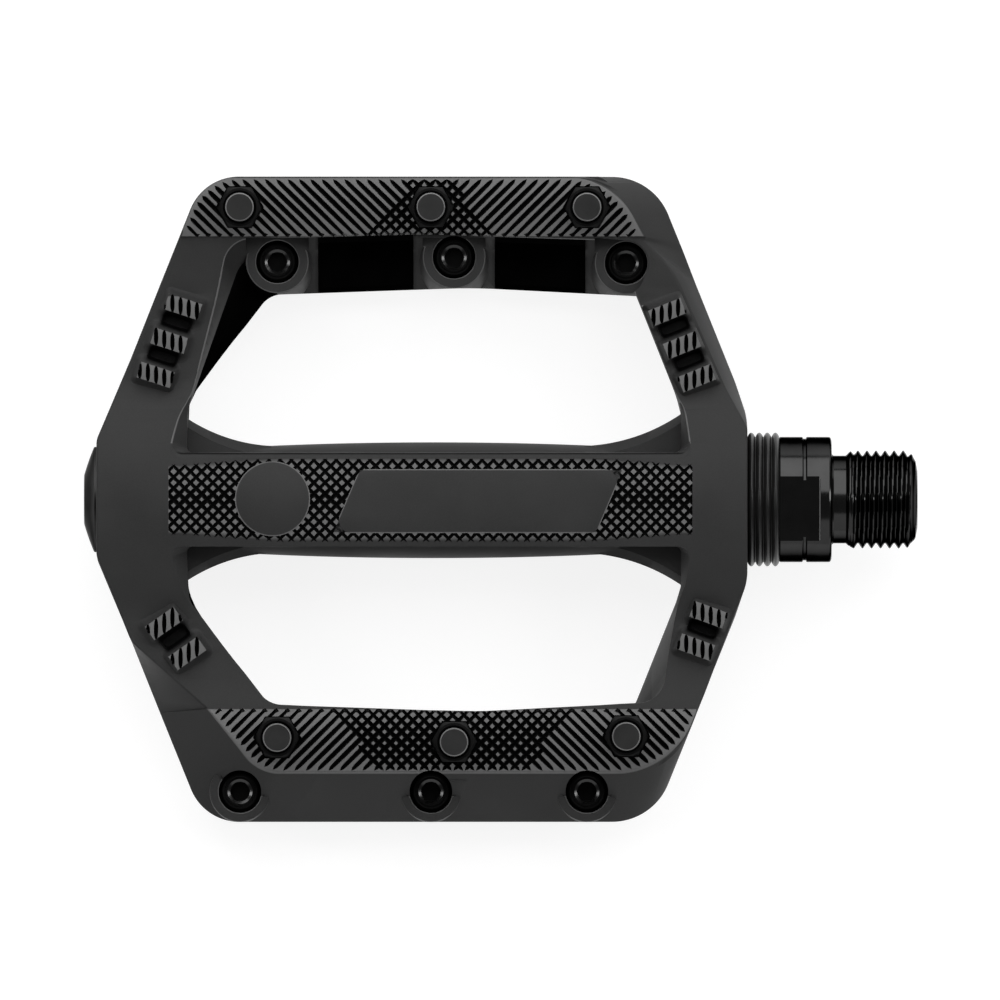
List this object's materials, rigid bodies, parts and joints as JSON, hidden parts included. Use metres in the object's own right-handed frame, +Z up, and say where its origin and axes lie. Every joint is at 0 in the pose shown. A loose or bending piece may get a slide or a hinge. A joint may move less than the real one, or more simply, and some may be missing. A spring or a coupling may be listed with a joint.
{
  "type": "flat pedal",
  "caption": "Flat platform bicycle pedal: open moulded body with grip pads, blocks and steel pins, spinning on a flanged left-hand spindle.",
  "frame": {"origin": "on the spindle axis, at the centre of the pedal's overall box", "axes": "+X along the spindle towards the crank, +Y towards the rail that is full width in the upper face, +Z up out of the upper face"},
  "size_m": [0.117, 0.0906, 0.0238],
  "materials": {
    "nylon": "fine grained black glass-filled nylon",
    "black_steel": "glossy black",
    "pin_steel": "black oxide",
    "rubber": "satin black",
    "bush_metal": "dull bronze",
    "bearing_steel": "ground bright"
  },
  "bodies": {
    "spindle": {"spindle": "black_steel", "bearing_inner_race": "bearing_steel", "thrust_washer": "bearing_steel", "lock_nut": "black_steel"},
    "ball_set": {"bearing_cage": "bush_metal", "bearing_ball_1": "bearing_steel", "bearing_ball_2": "bearing_steel", "bearing_ball_3": "bearing_steel", "bearing_ball_4": "bearing_steel", "bearing_ball_5": "bearing_steel", "bearing_ball_6": "bearing_steel", "bearing_ball_7": "bearing_steel", "bearing_ball_8": "bearing_steel"},
    "platform": {"pedal_body": "nylon", "traction_pin_1": "pin_steel", "traction_pin_2": "pin_steel", "traction_pin_3": "pin_steel", "traction_pin_4": "pin_steel", "traction_pin_5": "pin_steel", "traction_pin_6": "pin_steel", "traction_pin_7": "pin_steel", "traction_pin_8": "pin_steel", "traction_pin_9": "pin_steel", "traction_pin_10": "pin_steel", "traction_pin_11": "pin_steel", "traction_pin_12": "pin_steel", "pin_nut_1": "black_steel", "pin_nut_2": "black_steel", "pin_nut_3": "black_steel", "pin_nut_4": "black_steel", "pin_nut_5": "black_steel", "pin_nut_6": "black_steel", "pin_nut_7": "black_steel", "pin_nut_8": "black_steel", "pin_nut_9": "black_steel", "pin_nut_10": "black_steel", "pin_nut_11": "black_steel", "pin_nut_12": "black_steel", "dust_cap": "black_steel", "dust_cap_ring": "rubber", "spindle_seal": "rubber", "spindle_bush": "bush_metal", "bearing_outer_race": "bearing_steel", "bearing_shield_outboard": "bearing_steel", "bearing_shield_inboard": "bearing_steel"}
  },
  "joints": [
    {"name": "pedal_spin", "type": "hinge", "parent": "spindle", "child": "platform", "pos_m": [0, 0, 0], "axis": [1, 0, 0], "continuous": true},
    {"name": "ball_set_spin", "type": "hinge", "parent": "spindle", "child": "ball_set", "pos_m": [0, 0, 0], "axis": [1, 0, 0], "continuous": true}
  ],
  "couplings": [
    {"joint": "ball_set_spin", "follows": "pedal_spin", "ratio": 0.5952}
  ]
}
